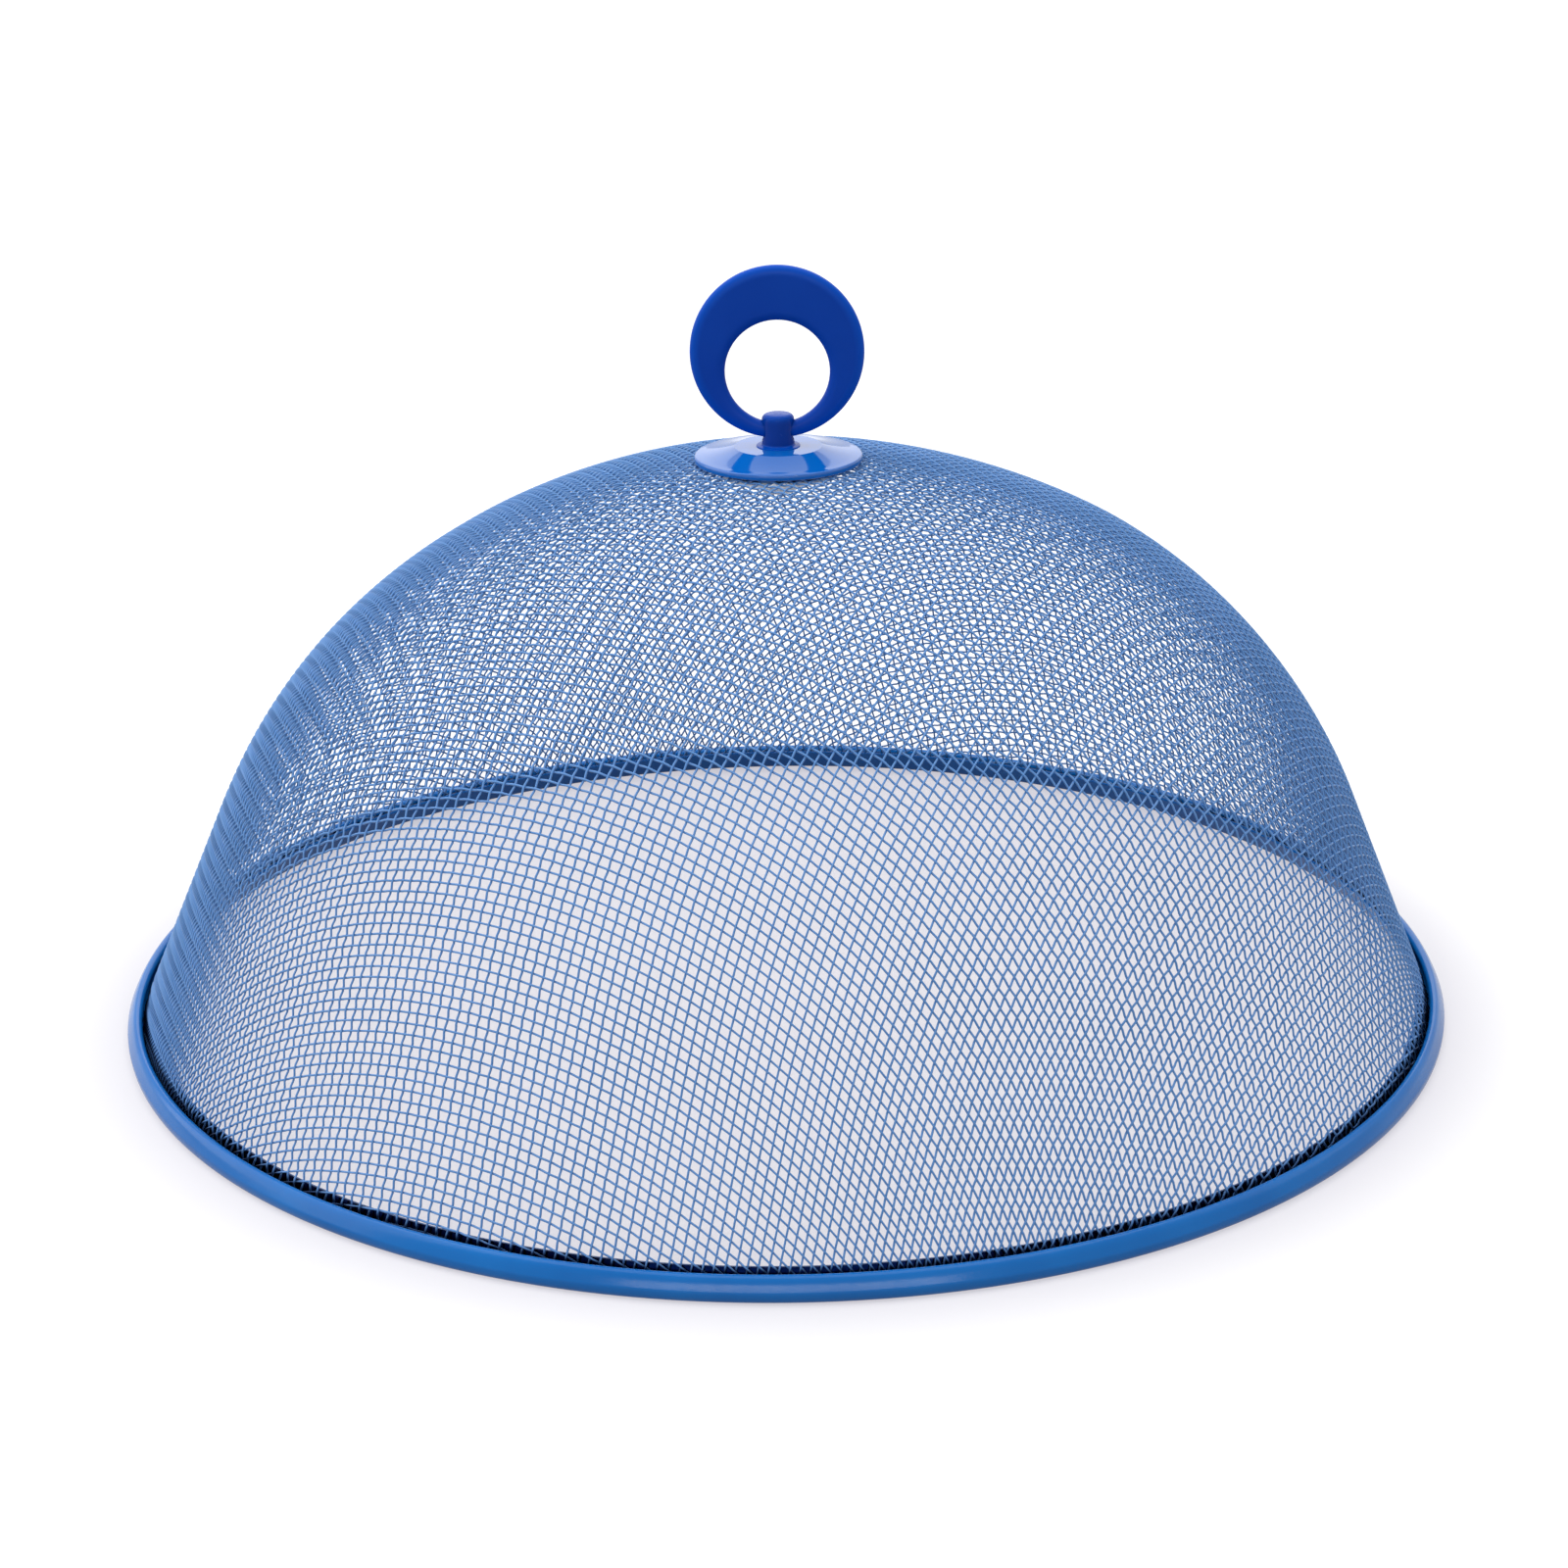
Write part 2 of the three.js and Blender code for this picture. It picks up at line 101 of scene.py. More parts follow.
# Top fittings
PLATE_RISE = 1.85 * MM
PLATE_FLARE = 0.36
PLATE_FLAT_RADIUS = 9.6 * MM
PLATE_FLAT_ROUNDING = 0.3 * MM
PLATE_FOOT_ROUNDING = 0.2 * MM
LIP_WIDTH = 0.5 * MM
LIP_ROUNDING = 0.45 * MM
POST_RADIUS = 3.55 * MM
POST_FOOT_RADIUS = 4.8 * MM
POST_FOOT_EDGE = 0.15 * MM
POST_FOOT_SLOPE = 0.15 * MM
POST_FILLET = 0.45 * MM
POST_TOP_EDGE = 1.2 * MM
POST_TOP_DOME = 0.25 * MM
FOOT_SEAT = 0.02 * MM
FOOT_BASE_ROUNDING = 0.05 * MM
FOOT_TOP_ROUNDING = 0.08 * MM
EYE_RADIUS = 2.1 * MM
EYE_MOUTH_RADIUS = 2.45 * MM
EYE_MOUTH_LIMIT_SHARE = 1.2
EYE_OVERRUN = 1.0 * MM
EYE_HEIGHT = 3.5 * MM
STUD_RADIUS = 2.0 * MM
STUD_HOLE_RADIUS = STUD_RADIUS + CLEARANCE
STUD_CHAMFER = 0.5 * MM
STUD_ROUNDING = 0.1 * MM
FINGER_RADIUS = 11.35 * MM
FINGER_DROP = 4.3 * MM
RING_EDGE_DEPTH = 1.3 * MM
RING_EDGE_WIDTH = 2.2 * MM
RING_EDGE_SHARE = 0.48

# Fixings under the crown
BACKING_THICKNESS = 1.0 * MM
BACKING_BLUNT = 0.15 * MM
LOCK_SPLIT = 0.8 * MM
LOCK_INNER_ROUNDING = 0.1 * MM
LOCK_OUTER_ROUNDING = 0.15 * MM
NUT_SIDES = 6
NUT_ACROSS_FLATS = 7.0 * MM
NUT_FACE_SHARE = 0.95
NUT_CHAMFER_ANGLE = 30
NUT_BORE_CHAMFER = 0.35 * MM

# Steps of round forms
ROUND_STEPS = 288
SMALL_STEPS = 96
EYE_STEPS = 64
RING_STEPS = 192
LOCK_STEPS = 72
RIM_BEND_STEPS = 8
RIM_FOOT_STEPS = 10
RIM_KNEE_STEPS = 4
RIM_TOP_STEPS = 12
RIM_CURL_STEPS = 10
PLATE_DISH_STEPS = 9
PLATE_CONE_STEPS = 11
POST_ROUND_STEPS = 8
EYE_BORE_STEPS = 40
RING_EDGE_STEPS = 12
BACKING_STEPS = 11
LOCK_ROUND_STEPS = 3

# Tones. Blotches and grains are counted to the metre
PAINT_BLOTCHES = 60
GLOSS_BLOTCHES = 420
ZINC_DARK = (0.46, 0.47, 0.48)
ZINC_LIGHT = (0.66, 0.67, 0.68)
ZINC_BLOTCHES = 900
ZINC_DULL_BLOTCHES = 2500
ZINC_ROUGHNESS = (0.28, 0.45)
ZINC_GRAIN = 6000
ZINC_GRAIN_DEPTH = 0.02 * MM
# Painted shade: near-black metal put in the hoop's slot and on the cloth's hem, where shade falls
PAINTED_SHADE_COLOUR = (0.0005, 0.003, 0.022)
SLOT_FADE = 0.2 * MM
HEM_SHADE = 1.2 * MM
HEM_DARKNESS = 0.92
FACING_FADE_SHARE = 1 / 3
# Painted highlight on the post's foot and top edge
POST_HIGHLIGHT_COLOUR = (0.0, 0.07, 0.46)
POST_TOP_FADE = 1.6 * POST_TOP_EDGE
POST_TOP_HIGHLIGHT = 0.6
# Painted highlight on the ring's rounded outer edge
RING_EDGE_HIGHLIGHT_COLOUR = (0.0, 0.070, 0.48)
RING_EDGE_FULL = 0.3 * MM

# Stage
WORLD_LIGHT = 0.42
FLOOR_REACH = 8.0
FLOOR_DROP = 0.02 * MM
FLOOR_COLOUR = (0.26, 0.26, 0.265)
FLOOR_ROUGHNESS = 0.9
# Painted shadow: the floor's glow is darker under the cover
GLOW_IN_PAINTED_SHADOW = (0.545, 0.53, 0.57)
GLOW_AROUND = (0.82, 0.82, 0.82)
GLOW_START = 149 * MM
GLOW_FULL = 180 * MM

# Places read from the frame
RIM_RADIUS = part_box("rim_hoop")[1].x
RIM_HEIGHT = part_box("rim_hoop")[1].z
PLATE_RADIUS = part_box("top_plate")[1].x
PLATE_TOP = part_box("top_plate")[1].z
POST_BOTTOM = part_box("eye_post")[0].z
POST_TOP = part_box("eye_post")[1].z
RING_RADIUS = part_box("ring_handle")[1].x
RING_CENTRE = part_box("ring_handle")[1].z - RING_RADIUS
RING_THICKNESS = 2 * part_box("ring_handle")[1].y
EYE_CENTRE = PLATE_TOP + EYE_HEIGHT

# The cloth's profile, worked out from its edge in the hoop. The shoulder's radius is the one that
# meets both the wall and the crown without a kink
crown_end = CROWN_ANGLE * DEGREE
wall_turn = WALL_ANGLE * DEGREE
cloth_edge = RIM_SHEET + CLEARANCE
top_radius = RIM_RADIUS - ROLL_WIDTH - SLOT_GAP - CLOTH_THICKNESS / 2 / math.sin(wall_turn)
wall_slope = 1 / math.tan(wall_turn)
edge_radius = top_radius + (RIM_HEIGHT - cloth_edge) * wall_slope
shoulder_radius = (
    edge_radius - WALL_LENGTH * math.cos(wall_turn) - CROWN_RADIUS * math.sin(crown_end)
) / (math.sin(wall_turn) - math.sin(crown_end))
apex = (
    cloth_edge
    + WALL_LENGTH * math.sin(wall_turn)
    + shoulder_radius * (math.cos(crown_end) - math.cos(wall_turn))
    + CROWN_RADIUS * (1 - math.cos(crown_end))
)
crown_length = CROWN_RADIUS * crown_end
shoulder_length = shoulder_radius * (wall_turn - crown_end)
edge_length = crown_length + shoulder_length + WALL_LENGTH


# Meshes


def mesh_of(name, points, corners, sizes):
    """A mesh from points of shape (n, 3), the corners of all its faces in one run, and how many
    corners each face has."""
    mesh = bpy.data.meshes.new(name)
    mesh.vertices.add(len(points))
    mesh.vertices.foreach_set("co", np.ascontiguousarray(points, np.float32).ravel())
    mesh.loops.add(len(corners))
    mesh.loops.foreach_set("vertex_index", np.ascontiguousarray(corners, np.int32))
    mesh.polygons.add(len(sizes))
    starts = np.concatenate([[0], np.cumsum(sizes)[:-1]])
    mesh.polygons.foreach_set("loop_start", starts.astype(np.int32))
    mesh.polygons.foreach_set("loop_total", np.asarray(sizes, np.int32))
    mesh.update(calc_edges=True)
    mesh.validate()
    mesh.shade_smooth()
    return mesh


def add_piece(name, mesh, material, node, body="cover", sharp=None):
    """Puts a mesh in the scene as a piece that rides on a body and stands for a node of the frame.
    Edges that turn by more than the sharp angle are drawn crisp."""
    if sharp is not None:
        mesh.set_sharp_from_angle(angle=sharp * DEGREE)
    mesh.materials.append(material)
    piece = bpy.data.objects.new(name, mesh)
    bpy.context.scene.collection.objects.link(piece)
    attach(piece, body)
    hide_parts(node)


def quads(rows, columns, wrap_rows, wrap_columns):
    """Corners of the faces of a grid whose point (row, column) is row * columns + column. A grid that
    wraps joins its last row or column to its first."""
    row = np.arange(rows if wrap_rows else rows - 1)[:, None]
    column = np.arange(columns if wrap_columns else columns - 1)[None, :]
    next_row = (row + 1) % rows
    next_column = (column + 1) % columns
    corners = [
        row * columns + column,
        row * columns + next_column,
        next_row * columns + next_column,
        next_row * columns + column,
    ]
    return np.stack(np.broadcast_arrays(*corners), axis=-1).reshape(-1, 4)


def turned(name, outline, steps):
    """A surface of revolution: each point [radius, height] of a counter-clockwise outline goes round
    the Z axis in equal steps. An outline that starts and ends on the axis gets one point at each
    pole."""
    outline = np.asarray(outline, float)
    poled = outline[0, 0] == 0 and outline[-1, 0] == 0
    rows = outline[1:-1] if poled else outline
    turn = np.arange(steps) * TURN / steps
    radius, height = rows[:, :1], rows[:, 1:]
    level = np.broadcast_to(height, (len(rows), steps))
    points = np.stack([radius * np.cos(turn), radius * np.sin(turn), level], -1).reshape(-1, 3)
    faces = quads(len(rows), steps, not poled, True)
    corners, sizes = faces.ravel(), np.full(len(faces), 4)
    if poled:
        low, high = len(points), len(points) + 1
        poles = [[0, 0, outline[0, 1]], [0, 0, outline[-1, 1]]]
        points = np.vstack([points, poles])
        column = np.arange(steps)
        following = (column + 1) % steps
        last = (len(rows) - 1) * steps
        fans = np.vstack([
            np.stack([np.full(steps, low), following, column], -1),
            np.stack([np.full(steps, high), last + column, last + following], -1),
        ])
        corners = np.concatenate([corners, fans.ravel()])
        sizes = np.concatenate([sizes, np.full(len(fans), 3)])
    return mesh_of(name, points, corners, sizes)


def arc(centre, radii, start, end, steps):
    """Points of an elliptic arc from one angle to another, in degrees, both ends included."""
    angle = np.linspace(start, end, steps + 1) * DEGREE
    return np.stack([centre[0] + radii[0] * np.cos(angle), centre[1] + radii[1] * np.sin(angle)], -1)


def softened(corners, closed, steps=6):
    """An outline from [radius, height, rounding] corners: each corner becomes an arc of its rounding
    that touches both of its sides, and stays a point where its rounding is 0. The arc's centre lies on
    the line that halves the corner, and its spokes turn evenly from the one side's to the other's."""
    corners = np.asarray(corners, float)
    count = len(corners)
    outline = []
    for k, (r, z, rounding) in enumerate(corners):
        here = np.array([r, z])
        at_end = not closed and k in (0, count - 1)
        if at_end or rounding == 0:
            outline.append(here[None])
            continue
        back = corners[k - 1, :2] - here
        ahead = corners[(k + 1) % count, :2] - here
        back, ahead = back / np.linalg.norm(back), ahead / np.linalg.norm(ahead)
        half = math.acos(np.clip(back @ ahead, -1, 1)) / 2
        middle = (back + ahead) / np.linalg.norm(back + ahead)
        centre = here + middle * rounding / math.sin(half)
        start = here + back * rounding / math.tan(half) - centre
        end = here + ahead * rounding / math.tan(half) - centre
        share = np.linspace(0, 1, steps + 1)[:, None]
        between = math.acos(np.clip(start @ end / rounding**2, -1, 1))
        spokes = np.sin((1 - share) * between) * start + np.sin(share * between) * end
        outline.append(centre + spokes / math.sin(between))
    return np.vstack(outline)


def crown_height(offset, radius):
    """Height of a sphere round the crown's centre, an offset outside mid cloth, at a radius."""
    return apex - CROWN_RADIUS + np.sqrt((CROWN_RADIUS + offset) ** 2 - radius**2)


# Materials


def new_material(name):
    """A material with nodes, its tree and its main shader."""
    material = bpy.data.materials.new(name)
    material.use_nodes = True
    tree = material.node_tree
    return material, tree, tree.nodes["Principled BSDF"]


def noise(tree, scale, detail=2.0):
    """A noise of object coordinates, with a scale in blotches to the metre."""
    place = tree.nodes.new("ShaderNodeTexCoord")
    made = tree.nodes.new("ShaderNodeTexNoise")
    made.inputs["Scale"].default_value = scale
    made.inputs["Detail"].default_value = detail
    tree.links.new(place.outputs["Object"], made.inputs["Vector"])
    return made.outputs["Fac"]


def ramp(tree, value, low, high, from_low=0.3, from_high=0.7):
    """Maps a value to a number or a colour: low up to from_low, high past from_high, and evenly
    between. Nearly all of a noise lies between the two that are used when none are given."""
    if isinstance(low, (int, float)):
        made = tree.nodes.new("ShaderNodeMapRange")
        made.inputs["From Min"].default_value = from_low
        made.inputs["From Max"].default_value = from_high
        made.inputs["To Min"].default_value = low
        made.inputs["To Max"].default_value = high
        tree.links.new(value, made.inputs["Value"])
        return made.outputs["Result"]
    made = tree.nodes.new("ShaderNodeValToRGB")
    made.color_ramp.elements[0].position = from_low
    made.color_ramp.elements[1].position = from_high
    made.color_ramp.elements[0].color = (*low, 1)
    made.color_ramp.elements[1].color = (*high, 1)
    tree.links.new(value, made.inputs["Fac"])
    return made.outputs["Color"]


def bumped(tree, shader, value, distance):
    """Tilts a shader's normal as if a value raised the surface by up to a distance."""
    bump = tree.nodes.new("ShaderNodeBump")
    bump.inputs["Distance"].default_value = distance
    bump.inputs["Strength"].default_value = 1.0
    tree.links.new(value, bump.inputs["Height"])
    tree.links.new(bump.outputs["Normal"], shader.inputs["Normal"])


def paint(name, dark, light, rough, peel_scale, peel_depth, shine):
    """A blue coat: a colour that drifts between two tones, a roughness that drifts on a finer scale,
    and the ripple of a sprayed or moulded surface."""
    material, tree, shader = new_material(name)
    tree.links.new(ramp(tree, noise(tree, PAINT_BLOTCHES), dark, light), shader.inputs["Base Color"])
    tree.links.new(ramp(tree, noise(tree, GLOSS_BLOTCHES), *rough), shader.inputs["Roughness"])
    shader.inputs["Specular IOR Level"].default_value = shine
    bumped(tree, shader, noise(tree, peel_scale, detail=1.0), peel_depth)
    return material


def zinc_plate(name):
    """Dull bright zinc, mottled like plated small parts, with a fine grain."""
    material, tree, shader = new_material(name)
    tones = ramp(tree, noise(tree, ZINC_BLOTCHES, detail=4.0), ZINC_DARK, ZINC_LIGHT)
    dullness = ramp(tree, noise(tree, ZINC_DULL_BLOTCHES), *ZINC_ROUGHNESS)
    tree.links.new(tones, shader.inputs["Base Color"])
    tree.links.new(dullness, shader.inputs["Roughness"])
    shader.inputs["Metallic"].default_value = 1.0
    bumped(tree, shader, noise(tree, ZINC_GRAIN, detail=3.0), ZINC_GRAIN_DEPTH)
    return material


def reach_from(tree, centre, kept):
    """Distance from a centre with only the kept axes counted: three of them make a ball, two make a
    cylinder."""
    place = tree.nodes.new("ShaderNodeTexCoord")
    moved = tree.nodes.new("ShaderNodeVectorMath")
    moved.operation = "SUBTRACT"
    moved.inputs[1].default_value = centre
    flat = tree.nodes.new("ShaderNodeVectorMath")
    flat.operation = "MULTIPLY"
    flat.inputs[1].default_value = kept
    reach = tree.nodes.new("ShaderNodeVectorMath")
    reach.operation = "LENGTH"
    tree.links.new(place.outputs["Object"], moved.inputs[0])
    tree.links.new(moved.outputs[0], flat.inputs[0])
    tree.links.new(flat.outputs[0], reach.inputs[0])
    return reach.outputs["Value"]


def height_of(tree):
    """Height over the table, at rest."""
    place = tree.nodes.new("ShaderNodeTexCoord")
    parts = tree.nodes.new("ShaderNodeSeparateXYZ")
    tree.links.new(place.outputs["Object"], parts.inputs[0])
    return parts.outputs["Z"]


def blended(material, share, colour):
    """Mixes a material's paint towards another colour by a share from 0 to 1."""
    tree = material.node_tree
    base = tree.nodes["Principled BSDF"].inputs["Base Color"]
    mix = tree.nodes.new("ShaderNodeMix")
    mix.data_type = "RGBA"
    tree.links.new(share, mix.inputs["Factor"])
    tree.links.new(base.links[0].from_socket, mix.inputs["A"])
    mix.inputs["B"].default_value = (*colour, 1)
    tree.links.new(mix.outputs["Result"], base)


def painted_dark_shade(material, share):
    """Painted shade: turns paint by a share from 0 to 1 to dull near-black metal, which mirrors next to
    nothing, so the spot reads as deep shade.
    """
    blended(material, share, PAINTED_SHADE_COLOUR)
    tree = material.node_tree
    tree.links.new(share, tree.nodes["Principled BSDF"].inputs["Metallic"])


def product(tree, first, second):
    """One share times another."""
    made = tree.nodes.new("ShaderNodeMath")
    made.operation = "MULTIPLY"
    tree.links.new(first, made.inputs[0])
    tree.links.new(second, made.inputs[1])
    return made.outputs[0]


def facing_out(tree):
    """1 where a surface faces away from the axis or along it, falling to 0 where it faces the axis: the
    dot product of the level part of the place with the normal, over a third of the hoop's radius."""
    place = tree.nodes.new("ShaderNodeTexCoord")
    flat = tree.nodes.new("ShaderNodeVectorMath")
    flat.operation = "MULTIPLY"
    flat.inputs[1].default_value = (1, 1, 0)
    along = tree.nodes.new("ShaderNodeVectorMath")
    along.operation = "DOT_PRODUCT"
    tree.links.new(place.outputs["Object"], flat.inputs[0])
    tree.links.new(flat.outputs[0], along.inputs[0])
    tree.links.new(place.outputs["Normal"], along.inputs[1])
    return ramp(tree, along.outputs["Value"], 0.0, 1.0, -RIM_RADIUS * FACING_FADE_SHARE, 0)


def hem_shade(material):
    """Painted shade: the cloth's wires turn dark on their outer side where they go down into the slot
    and the hoop shades them."""
    tree = material.node_tree
    low, high = RIM_HEIGHT - HEM_SHADE / 2, RIM_HEIGHT + HEM_SHADE / 2
    near_slot = ramp(tree, height_of(tree), HEM_DARKNESS, 0.0, low, high)
    painted_dark_shade(material, product(tree, near_slot, facing_out(tree)))


def slot_shade(material):
    """Painted shade: the hoop turns dark inside the slot, past the inner wall's middle, measured square
    to the wall's lean, and inside the curl, on the sides that face away from the axis."""
    tree = material.node_tree
    radius = reach_from(tree, (0, 0, 0), (1, 1, 0))
    leaned = tree.nodes.new("ShaderNodeMath")
    leaned.operation = "MULTIPLY_ADD"
    leaned.inputs[1].default_value = wall_slope
    tree.links.new(height_of(tree), leaned.inputs[0])
    tree.links.new(radius, leaned.inputs[2])
    wall = top_radius - (CLOTH_THICKNESS + RIM_SHEET) / 2 - CLEARANCE + RIM_HEIGHT * wall_slope
    past_wall = ramp(tree, leaned.outputs[0], 0.0, 1.0, wall - SLOT_FADE / 2, wall + SLOT_FADE / 2)
    curl = RIM_RADIUS - ROLL_WIDTH
    within_curl = ramp(tree, radius, 1.0, 0.0, curl, curl + SLOT_FADE)
    in_slot = product(tree, past_wall, within_curl)
    painted_dark_shade(material, product(tree, in_slot, facing_out(tree)))


def ring_edge_highlight(material):
    """Painted highlight: the ring's colour grows lighter over its rounded outer edge, where light from
    above and the sides falls.
    """
    tree = material.node_tree
    reach = reach_from(tree, (0, 0, RING_CENTRE), (1, 0, 1))
    start, full = RING_RADIUS - RING_EDGE_WIDTH, RING_RADIUS - RING_EDGE_FULL
    near_edge = ramp(tree, reach, 0.0, 1.0, start, full)
    blended(material, near_edge, RING_EDGE_HIGHLIGHT_COLOUR)


def post_highlight(material):
    """Painted highlight: the post's colour grows lighter over its foot and over its top edge, where
    light from above falls.
    """
    tree = material.node_tree
    height = height_of(tree)
    foot = PLATE_TOP + FOOT_SEAT + POST_FOOT_EDGE
    near_foot = ramp(tree, height, 1.0, 0.0, foot, foot + POST_FOOT_SLOPE + POST_FILLET)
    start, full = POST_TOP - POST_TOP_FADE, POST_TOP - POST_TOP_DOME
    near_top = ramp(tree, height, 0.0, POST_TOP_HIGHLIGHT, start, full)
    either = tree.nodes.new("ShaderNodeMath")
    either.operation = "MAXIMUM"
    tree.links.new(near_foot, either.inputs[0])
    tree.links.new(near_top, either.inputs[1])
    blended(material, either.outputs[0], POST_HIGHLIGHT_COLOUR)


rim_paint = paint(
    "rim_paint",
    dark=(0.0, 0.120, 0.425),
    light=(0.002, 0.142, 0.475),
    rough=(0.15, 0.21),
    peel_scale=900,
    peel_depth=0.015 * MM,
    shine=0.22,
)
slot_shade(rim_paint)
cloth_paint = paint(
    "cloth_paint",
    dark=(0.080, 0.224, 0.510),
    light=(0.104, 0.258, 0.565),
    rough=(0.35, 0.48),
    peel_scale=3000,
    peel_depth=0.01 * MM,
    shine=0.38,
)
hem_shade(cloth_paint)
plate_gloss = paint(
    "plate_gloss",
    dark=(0.0, 0.110, 0.46),
    light=(0.002, 0.125, 0.50),
    rough=(0.05, 0.08),
    peel_scale=260,
    peel_depth=0.005 * MM,
    shine=0.5,
)
post_paint = paint(
    "post_paint",
    dark=(0.0, 0.030, 0.24),
    light=(0.001, 0.038, 0.27),
    rough=(0.20, 0.28),
    peel_scale=900,
    peel_depth=0.01 * MM,
    shine=0.08,
)
post_highlight(post_paint)
ring_gloss = paint(
    "ring_gloss",
    dark=(0.0, 0.043, 0.345),
    light=(0.001, 0.050, 0.375),
    rough=(0.34, 0.42),
    peel_scale=700,
    peel_depth=0.01 * MM,
    shine=0.1,
)
ring_edge_highlight(ring_gloss)
zinc = zinc_plate("zinc")


# Hoop


def eased(start, corner, end, steps):
    """Points of the quadratic curve that leaves its start towards the corner and comes to its end from
    the corner: each point is the share-weighted mean of two points that run along the two sides."""
    start, corner, end = (np.asarray(point, float) for point in (start, corner, end))
    share = np.linspace(0, 1, steps + 1)[:, None]
    return (1 - share) ** 2 * start + 2 * share * (1 - share) * corner + share**2 * end


def rim_section():
    """The middle line of the rolled strip, half a sheet to each side: inner wall, bend, flat
    underside, round foot, leaning outer face, round top, and the curl down into the slot. Where the
    line turns, the mean of the two normals is shorter than one, and its reach is as much longer. Each
    end of the strip is blunt, with one point a little past it."""
    half = RIM_SHEET / 2
    lean = 90 - WALL_ANGLE
    shift = (CLOTH_THICKNESS / 2 + CLEARANCE + half) / math.sin(wall_turn)
    top = RIM_HEIGHT - half
    outer = RIM_RADIUS - half
    curl = RIM_RADIUS - ROLL_WIDTH + half + CURL_RADIUS

    def wall_radius(height):
        """Radius of the inner wall's middle at a height: the wall leans out downwards as the cloth
        does."""
        return top_radius - shift + (RIM_HEIGHT - height) * wall_slope

    def face_point(height):
        """Middle of the outer face at a height: it leans in upwards from FACE_LOW."""
        return [outer - (height - FACE_LOW) * math.tan(FACE_LEAN * DEGREE), height]

    bend = wall_radius(half + BEND_RADIUS) + BEND_RADIUS / math.cos(lean * DEGREE)
    knee_low = (outer, FACE_LOW - KNEE_REACH)
    middle = np.vstack([
        [[wall_radius(top), top]],
        arc((bend, half + BEND_RADIUS), (BEND_RADIUS, BEND_RADIUS), 180 + lean, 270, RIM_BEND_STEPS),
        eased((outer - FOOT_ROUND, half), (outer, half), (outer, half + FOOT_ROUND), RIM_FOOT_STEPS),
        eased(knee_low, (outer, FACE_LOW), face_point(FACE_LOW + KNEE_REACH), RIM_KNEE_STEPS),
        eased(face_point(FACE_HIGH), face_point(top), (curl, top), RIM_TOP_STEPS),
        arc((curl, top - CURL_RADIUS), (CURL_RADIUS, CURL_RADIUS), 90, 180, RIM_CURL_STEPS)[1:],
    ])
    ahead = np.diff(middle, axis=0)
    ahead /= np.linalg.norm(ahead, axis=1, keepdims=True)
    along = np.vstack([ahead[:1], (ahead[:-1] + ahead[1:]) / 2, ahead[-1:]])
    normal = np.stack([-along[:, 1], along[:, 0]], -1)
    reach = half / np.sum(normal**2, axis=1, keepdims=True)
    outside, inside = middle - normal * reach, middle + normal * reach
    start = middle[:1] - along[:1] * half * STRIP_END_SHARE
    end = middle[-1:] + along[-1:] * half * STRIP_END_SHARE
    return np.vstack([start, outside, end, inside[::-1]])


rim = turned("rim_hoop_rolled", rim_section(), ROUND_STEPS)
add_piece("rim_hoop_rolled", rim, rim_paint, "rim_hoop", sharp=50)


# Wire cloth


def dome_profile(length):
    """Distance from the axis, height and lean of the normal, for a length from the apex down the
    cloth: a crown arc, then a shoulder arc, then a straight wall."""
    lean = np.where(
        length < crown_length,
        length / CROWN_RADIUS,
        np.minimum(crown_end + (length - crown_length) / shoulder_radius, wall_turn),
    )
    past = np.maximum(length - crown_length - shoulder_length, 0)
    low = np.minimum(lean, crown_end)
    radius = (
        CROWN_RADIUS * np.sin(low)
        + shoulder_radius * (np.sin(lean) - np.sin(low))
        + past * math.cos(wall_turn)
    )
    height = (
        apex
        - CROWN_RADIUS * (1 - np.cos(low))
        - shoulder_radius * (np.cos(low) - np.cos(lean))
        - past * math.sin(wall_turn)
    )
    return radius, height, lean


def cloth_points(length, turn):
    """Points of mid cloth at a length from the apex and a turn round the axis."""
    radius, height, _ = dome_profile(length)
    return np.stack([radius * np.cos(turn), radius * np.sin(turn), height], -1)


def step_errors(points, above, beside):
    """How much further than a weft's step the points lie from the crossings above them, and how much
    further than a warp's step from the crossings beside them."""
    return np.stack([
        np.linalg.norm(points - above, axis=-1) - WEFT_PITCH,
        np.linalg.norm(points - beside, axis=-1) - WARP_PITCH,
    ])


